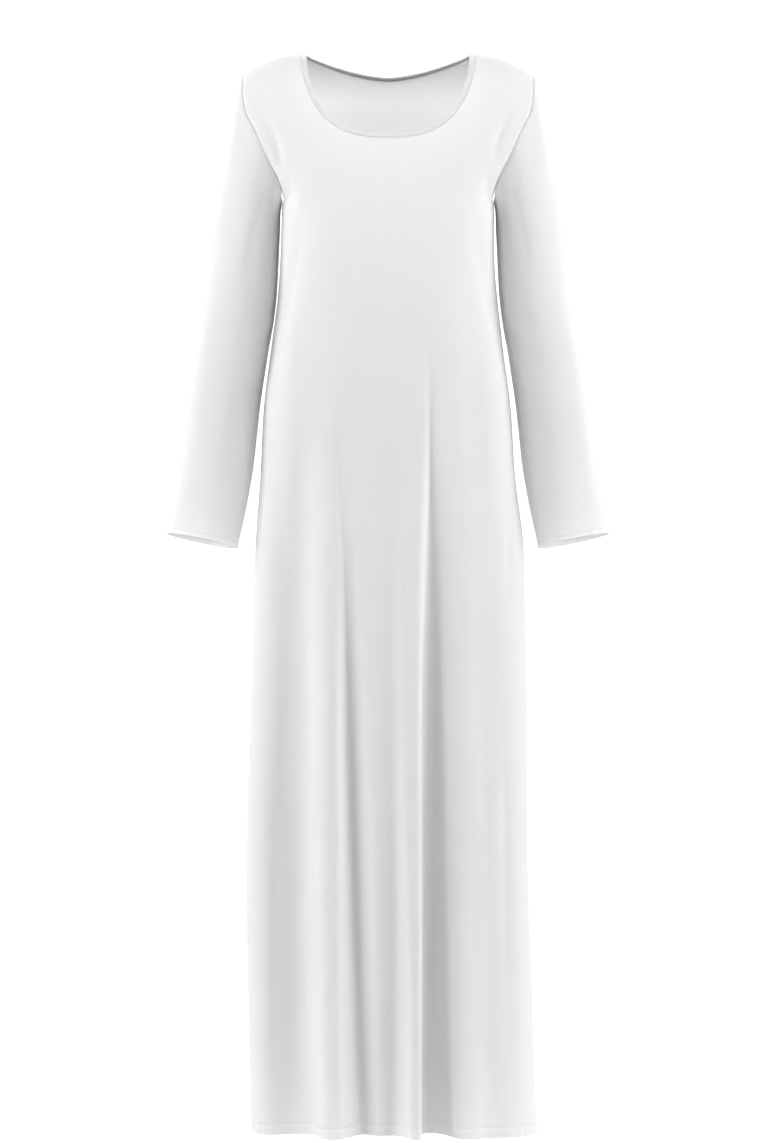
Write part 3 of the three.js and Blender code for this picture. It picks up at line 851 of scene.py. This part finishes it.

# %% [markdown]
# The neck is finished with a narrow strip of the same cloth, cut on the bias, folded over the edge and
# rolled. A curve with a bevel would give a solid cord. The strip is cloth, so it is a shell too, wrapped
# almost all the way round the edge of both panels, and it puckers a little here and there. Its path is the
# panels' own edge.

# %% The binding's path
BINDING_WIDTH = 6.4
BINDING_THICKNESS = 3.2
BINDING_INSET = 0.25


def neck_path():
    """Points of the whole neck edge and the direction out of the cloth at each."""
    points, outs = [], []
    for name, reverse in (("front", False), ("back", True)):
        data = laid[name]
        normal = normals_of(data["grid"], False, data["outward"])
        for source, target in ((data["grid"], points), (normal, outs)):
            run = along_neck(source, *data["neck_at"])
            target.append(run[::-1][1:-1] if reverse else run)
    return np.concatenate(points), np.concatenate(outs)


def close_line(line):
    return np.vstack([line, line[:1]])


def taken_at(places, run, line):
    """A line, or what goes with its points, at other places along it."""
    return np.stack([np.interp(places, run, line[:, k]) for k in range(3)], -1)


def even_loop(points, others, count):
    """A closed path taken again at even steps, with something else that runs along it."""
    points, others = close_line(points), close_line(others)
    run = run_along(points)
    at = np.linspace(0, run[-1], count, endpoint=False)
    return taken_at(at, run, points), taken_at(at, run, others), run[-1]


def soften(points, times):
    """A closed path with each point drawn towards its two neighbours, some times over."""
    for _ in range(times):
        points = points / 2 + (np.roll(points, 1, axis=0) + np.roll(points, -1, axis=0)) / 4
    return points


PATH_COUNT = 560
PATH_SOFTENED, DIRECTION_SOFTENED = 6, 10
path, path_out, path_length = even_loop(*neck_path(), PATH_COUNT)
path, path_out = soften(path, PATH_SOFTENED), soften(path_out, DIRECTION_SOFTENED)
print("neck edge:", round(path_length), "mm round")

# %% [markdown]
# Round the path goes the strip's section, an oval open on the side where the strip is sewn to the panel.
# Puckers are short dents across it, deeper at the lower left, as in the photograph.

# %% Making the binding
STRIP_THICKNESS = 0.5
STRIP_TURNS = np.radians(np.linspace(-166, 166, 29))
PUCKER_COUNT = 46
PUCKER_WIDTH = 2.2
PUCKER_LEAST, PUCKER_FLATTENS, PUCKER_NARROWS = 0.4, 0.07, 0.02
STRENGTH, STRENGTH_LOWER_LEFT, LEFT_OF, LOWER_THAN = 0.8, 1.7, -10, -80

random = np.random.default_rng(7)
tangent = unit(np.roll(path, -1, axis=0) - np.roll(path, 1, axis=0))
into = unit(np.cross(tangent, path_out))
inwards = path * [-1, -1, 0] + [0, 0, NECK_HALF_WIDTH]
into *= np.sign((into * inwards).sum(axis=1, keepdims=True))
out = np.cross(into, tangent)
out *= np.sign((out * path_out).sum(axis=1, keepdims=True))

along = np.arange(PATH_COUNT) * path_length / PATH_COUNT
pucker = np.zeros(PATH_COUNT)
for place in np.sort(random.uniform(0, path_length, PUCKER_COUNT)):
    apart = np.abs(along - place)
    apart = np.minimum(apart, path_length - apart)
    where = path[int(place / path_length * PATH_COUNT) % PATH_COUNT]
    lower_left = where[0] < LEFT_OF and where[1] < 0 and where[2] < LOWER_THAN
    strength = STRENGTH_LOWER_LEFT if lower_left else STRENGTH
    pucker += strength * random.uniform(PUCKER_LEAST, 1) * np.exp(-((apart / PUCKER_WIDTH) ** 2))
centre = path + into * (BINDING_INSET + BINDING_WIDTH / 2)
ring = [
    centre
    + into * (BINDING_WIDTH / 2 * np.cos(turn) * (1 - PUCKER_NARROWS * pucker))[:, None]
    + out * (BINDING_THICKNESS / 2 * np.sin(turn) * (1 - PUCKER_FLATTENS * pucker))[:, None]
    for turn in STRIP_TURNS
]
binding_grid = np.stack(ring)
strip_place = run_along(binding_grid)
strip_run = np.append(along, path_length)
binding_grain = np.stack(np.broadcast_arrays(strip_run[None, :], strip_place[:, None]), -1)
middle_line = len(STRIP_TURNS) // 2
section_out = np.sign((normals_of(binding_grid, True, 1)[middle_line] * into).sum())
pieces["binding"] = cloth_shell(
    "neck_binding_cloth", binding_grid, binding_grain, int(section_out), ring=True, thickness=STRIP_THICKNESS
)

# %% [markdown]
# The hem and the cuffs are stitched by machine. A dashed line in the material would do from afar, but close
# up a stitch catches the light. So each is a short bead of thread, half sunk in its groove. One bead is made
# as a few numbers and copied along the line, all in one mesh.

# %% Stitches
STITCH_PITCH = 3.3
STITCH_LENGTH = 2.5
THREAD_RADIUS = 0.24
STITCH_TILT = 0.12
BEAD_RINGS = 5
BEAD_SIDES = 6
BEAD_END = 0.02


def bead():
    """Points of one stitch, as shares along, beside and above its line, and its faces."""
    rings = np.linspace(-1, 1, BEAD_RINGS)
    turns = np.arange(BEAD_SIDES) * 2 * pi / BEAD_SIDES
    width = np.sqrt(np.maximum(BEAD_END, 1 - rings**4))
    points = [(share, w * np.cos(turn), w * np.sin(turn)) for share, w in zip(rings, width) for turn in turns]
    last_ring = (BEAD_RINGS - 1) * BEAD_SIDES
    faces = []
    for first in range(0, last_ring, BEAD_SIDES):
        for number in range(BEAD_SIDES):
            here, after = first + number, first + (number + 1) % BEAD_SIDES
            faces.append((here, here + BEAD_SIDES, after + BEAD_SIDES, after))
    faces += [tuple(range(BEAD_SIDES))[::-1], tuple(range(last_ring, last_ring + BEAD_SIDES))]
    return np.array(points), faces


def stitch_row(name, line, normal, closed):
    """Beads of thread along a line on the face of the cloth."""
    if closed:
        line, normal = close_line(line), close_line(normal)
    run = run_along(line)
    at = np.arange(STITCH_PITCH / 2, run[-1] - STITCH_PITCH / 2, STITCH_PITCH)
    centre, above = taken_at(at, run, line), unit(taken_at(at, run, normal))
    before, after = (taken_at(at + reach, run, line) for reach in (-STITCH_LENGTH / 2, STITCH_LENGTH / 2))
    ahead = unit(after - before)
    beside = np.cross(above, ahead)
    ahead = ahead + STITCH_TILT * beside
    shape, faces = bead()
    points = (
        centre[:, None]
        + ahead[:, None] * shape[None, :, :1] * STITCH_LENGTH / 2
        + beside[:, None] * shape[None, :, 1:2] * THREAD_RADIUS
        + above[:, None] * shape[None, :, 2:] * THREAD_RADIUS
    )
    all_faces = [
        tuple(number + index * len(shape) for number in face)
        for index in range(len(at))
        for face in faces
    ]
    mesh = bpy.data.meshes.new(name)
    mesh.from_pydata((points.reshape(-1, 3) * MM).tolist(), [], all_faces)
    mesh.shade_smooth()
    print(name, len(at), "stitches")
    return add_object(name, mesh)


def face_line(data, row, ring):
    """A row of a laid piece, on the outer face of its cloth."""
    normal = normals_of(data["grid"], ring, data["outward"])[row]
    return data["grid"][row] + normal * CLOTH / 2, normal


stitches = {}
for name in ("front", "back"):
    line, normal = face_line(laid[name], STITCH_ROW, ring=False)
    stitches[name] = stitch_row(f"{name}_hem_stitches", line, normal, closed=False)
for name in SIDES.values():
    line, normal = face_line(laid[name], CUFF_STITCH_ROW, ring=True)
    stitches[name] = stitch_row(f"{name}_cuff_stitches", line, normal, closed=True)

# %% [markdown]
# Materials next. Blender's materials are graphs of nodes. To keep the sums readable, a small class wraps an
# output socket, so that adding or multiplying two of them makes the Math node. Everything else comes from
# one method, which takes the kind of node, its settings and the values or links of its sockets.


# %% A socket that can be calculated with
class Wire:
    def __init__(self, tree, socket):
        self.tree = tree
        self.socket = socket

    def node(self, kind, settings=None, inputs=None, output=0):
        made = self.tree.nodes.new(kind)
        for key, value in (settings or {}).items():
            setattr(made, key, value)
        fill(made, inputs or {})
        return Wire(self.tree, made.outputs[output])

    def maths(self, operation, first, second=0.0):
        return self.node("ShaderNodeMath", {"operation": operation}, {0: first, 1: second})

    def __add__(self, other):
        return self.maths("ADD", self, other)

    def __sub__(self, other):
        return self.maths("SUBTRACT", self, other)

    def __rsub__(self, other):
        return self.maths("SUBTRACT", other, self)

    def __mul__(self, other):
        return self.maths("MULTIPLY", self, other)

    __radd__ = __add__
    __rmul__ = __mul__

    def sine(self):
        return self.maths("SINE", self)

    def blend(self, low, high):
        shades = {"Factor": self, 6: (*low, 1), 7: (*high, 1)}
        return self.node("ShaderNodeMix", {"data_type": "RGBA"}, shades, output=2)


def fill(node, inputs):
    """Give a node's sockets their values, or the wires that lead to them."""
    for key, value in inputs.items():
        if isinstance(value, Wire):
            value.tree.links.new(value.socket, node.inputs[key])
        else:
            node.inputs[key].default_value = value


def new_material(name):
    """A material, its shader and a wire to make its first nodes with."""
    material = bpy.data.materials.new(name)
    material.use_nodes = True
    tree = material.node_tree
    return material, tree.nodes["Principled BSDF"], Wire(tree, None)


# %% [markdown]
# The cloth is a smooth white weave with a soft matt face. Close up, threads cross over and under, and some
# are a little thicker. The weave is two sine waves multiplied, one along each direction of the grain. On top
# of that the white is not one white: it drifts very slightly over a hand's breadth. A picture of cloth could
# be laid on instead, but waves and noise stay sharp at any distance and never repeat. Sheen gives the fine
# fuzz on the face its pale edge. The cloth is thin, and light scatters through it from one face to the
# other, so that the inside of the back is as light as the front.

# %% The cloth
THREAD = 0.62
NOISES = [(260.0, 2.0), (1500.0, 1.0), (7.0, 3.0)]
RELIEF_STRENGTH, RELIEF_HEIGHT = 0.35, 0.00012
ROUGHNESS, ROUGHNESS_SPREAD, SHEEN_ROUGHNESS = 0.82, 0.12, 0.4
MIRROR_LEVEL = 0.3


def cloth_material(name, light, shaded, bias=False, sheen=0.25, seen_through=0.003):
    """White cloth between two shades. Seen_through is how far light scatters in it, in metres."""
    material, shader, start = new_material(name)
    grain = start.node("ShaderNodeUVMap", {"uv_map": "cloth_grain"})
    if bias:
        grain = start.node(
            "ShaderNodeVectorRotate", {"rotation_type": "Z_AXIS"}, {"Vector": grain, "Angle": radians(45)}
        )
    split = start.node("ShaderNodeSeparateXYZ", None, {"Vector": grain})
    weft = Wire(start.tree, split.socket.node.outputs["Y"])
    wave = 2 * pi / THREAD
    place = start.node("ShaderNodeTexCoord", output=3)
    slub, fuzz, drift = (
        start.node("ShaderNodeTexNoise", None, {"Vector": place, "Scale": scale, "Detail": detail})
        for scale, detail in NOISES
    )
    weave = (split * wave).sine() * (weft * wave).sine()
    height = weave * 0.5 + slub * 0.6 + fuzz * 0.5
    tone = drift * 0.7 + slub * 0.2 + weave * 0.05
    colour = tone.blend(shaded, light)
    relief = {"Height": height, "Strength": RELIEF_STRENGTH, "Distance": RELIEF_HEIGHT}
    bump = start.node("ShaderNodeBump", None, relief)
    rough = ROUGHNESS + (fuzz - 0.5) * ROUGHNESS_SPREAD
    face = {"Base Color": colour, "Roughness": rough, "Normal": bump, "Specular IOR Level": MIRROR_LEVEL}
    fuzzy_edge = {"Sheen Weight": sheen, "Sheen Roughness": SHEEN_ROUGHNESS}
    inside = {"Subsurface Weight": 1.0, "Subsurface Radius": (1, 1, 1), "Subsurface Scale": seen_through}
    fill(shader, face | fuzzy_edge | inside)
    return material


white_cloth = cloth_material("white_cloth", (0.76, 0.76, 0.765), (0.7, 0.7, 0.705))
# The binding is the same cloth, but its colours are painted a touch lighter than the panels': a painted
# highlight on its rolled band, and painted light on its shaded underside at the back of the neck.
bias_cloth_painted_lighter = cloth_material(
    "bias_cut_cloth_painted_lighter", (0.77, 0.77, 0.775), (0.73, 0.73, 0.735), bias=True, sheen=0.3, seen_through=0.002
)
print("cloth: thread", THREAD, "mm apart")

# %% [markdown]
# Sewing thread is spun polyester: whiter than the cloth and with more shine, twisted of two plies. A wave
# that runs slantwise over the object's own coordinates is enough for the twist at this size.

# %% The thread
TWIST_SCALE = 9000.0
TWIST_STRENGTH, TWIST_HEIGHT = 0.5, 0.00008
THREAD_ROUGHNESS, THREAD_ROUGHNESS_SPREAD = 0.42, 0.1

thread, shader, start = new_material("white_thread")
place = start.node("ShaderNodeTexCoord", output=3)
split = start.node("ShaderNodeSeparateXYZ", None, {"Vector": place})
down = Wire(start.tree, split.socket.node.outputs["Z"])
twist = ((split + down) * TWIST_SCALE).sine() * 0.5 + 0.5
shade = twist.blend((0.8, 0.8, 0.8), (0.9, 0.9, 0.9))
relief = {"Height": twist, "Strength": TWIST_STRENGTH, "Distance": TWIST_HEIGHT}
rise = start.node("ShaderNodeBump", None, relief)
rough = THREAD_ROUGHNESS + twist * THREAD_ROUGHNESS_SPREAD
fill(shader, {"Base Color": shade, "Roughness": rough, "Normal": rise})

for name in ("front", "back", *SIDES.values()):
    pieces[name].data.materials.append(white_cloth)
    stitches[name].data.materials.append(thread)
pieces["binding"].data.materials.append(bias_cloth_painted_lighter)
print("materials:", white_cloth.name, bias_cloth_painted_lighter.name, thread.name)

# %% [markdown]
# Now each piece rides on the body and replaces its solid, which is hidden, and its stitches ride on the body
# too. The table also gives the size that each panel and sleeve was cut to; these sizes are of what shows.

# %% What each piece is
HALF_GIRTH = 0.62
CUTS = {
    "front": ("front_panel", (HALF_GIRTH, 1.405), 0.66, ["back_cloth"]),
    "back": ("back_panel", (HALF_GIRTH, 1.41), 0.66, ["front_cloth"]),
    "left_sleeve": ("left_sleeve", (0.37, 0.63), 0.175, ["front_cloth", "back_cloth"]),
    "right_sleeve": ("right_sleeve", (0.37, 0.63), 0.175, ["front_cloth", "back_cloth"]),
}
for name, (node, flat, area, carried_by) in CUTS.items():
    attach(pieces[name], "root")
    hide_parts(node)
    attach(stitches[name], "root")

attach(pieces["binding"], "root")
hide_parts("neck_binding")
print("cloth pieces:", len(pieces), "and rows of stitches:", len(stitches))

# %% [markdown]
# The setting is a plain studio: a floor of pale paper that curves up into the background, so that no line
# shows behind the robe. The curve and the wall glow, to come out as white as in the photograph. The flat
# floor doesn't, or it would light the folds from below.

# %% Floor and background
FLOOR = -4.2
FLOOR_HALF_WIDTH = 18.0
PAPER_WHITE, PAPER_ROUGHNESS, PAPER_GLOW = (0.93, 0.93, 0.93, 1), 0.9, 0.8
FLOOR_FRONT, WALL_AT, WALL_TOP, SWEEP_RADIUS = -12.0, 9.0, 12.0, 3.2
SWEEP_TURNS = np.linspace(0, pi / 2, 17)

profile = [(FLOOR_FRONT, FLOOR)]
profile += [
    (WALL_AT - SWEEP_RADIUS * (1 - np.sin(turn)), FLOOR + SWEEP_RADIUS * (1 - np.cos(turn)))
    for turn in SWEEP_TURNS
]
profile += [(WALL_AT, WALL_TOP)]
sweep_points = [(x, y, z) for x in (-FLOOR_HALF_WIDTH, FLOOR_HALF_WIDTH) for y, z in profile]
sweep_faces = [(k, k + len(profile), k + 1 + len(profile), k + 1) for k in range(len(profile) - 1)]
sweep_mesh = bpy.data.meshes.new("studio_floor")
sweep_mesh.from_pydata(sweep_points, [], sweep_faces)
sweep_mesh.shade_smooth()
floor = add_object("studio_floor", sweep_mesh)
for name, glow in (("pale_paper", 0.0), ("lit_paper", PAPER_GLOW)):
    paper, shader, _ = new_material(name)
    fill(shader, {"Base Color": PAPER_WHITE, "Roughness": PAPER_ROUGHNESS})
    fill(shader, {"Emission Color": (1, 1, 1, 1), "Emission Strength": glow})
    sweep_mesh.materials.append(paper)
for face in sweep_mesh.polygons:
    face.material_index = int(face.index > 0)
print("floor at", FLOOR)

# %% [markdown]
# White cloth on white paper is lit like glass. Large soft lights at both sides keep the outer edges bright,
# and every hollow that they can't reach turns grey: the folds and the inner sides of the sleeves. A small
# light in front, high up, opens the neck, and one behind shines through the cloth of the back.

# %% Lights
WORLD_STRENGTH = 0.46
LIGHTS = {
    "left_light": ((-3.0, -1.5, 0.2), 2.2, 86),
    "right_light": ((3.0, -1.5, 0.2), 2.2, 86),
    "neck_light": ((0.0, -1.7, 1.1), 0.9, 10),
    "back_light": ((0.0, 1.9, 1.1), 1.2, 52),
}
world = bpy.data.worlds.new("studio_white")
world.use_nodes = True
fill(world.node_tree.nodes["Background"], {"Color": (1, 1, 1, 1), "Strength": WORLD_STRENGTH})
bpy.context.scene.world = world
bpy.context.scene.view_settings.view_transform = "Standard"
AIM = Vector((0, 0, -0.2))
for name, (place, size, power) in LIGHTS.items():
    lamp = bpy.data.lights.new(name, "AREA")
    lamp.size, lamp.energy = size, power
    light = add_object(name, lamp)
    light.location = place
    light.rotation_euler = (AIM - Vector(place)).to_track_quat("-Z", "Y").to_euler()
print("lights:", ", ".join(LIGHTS))
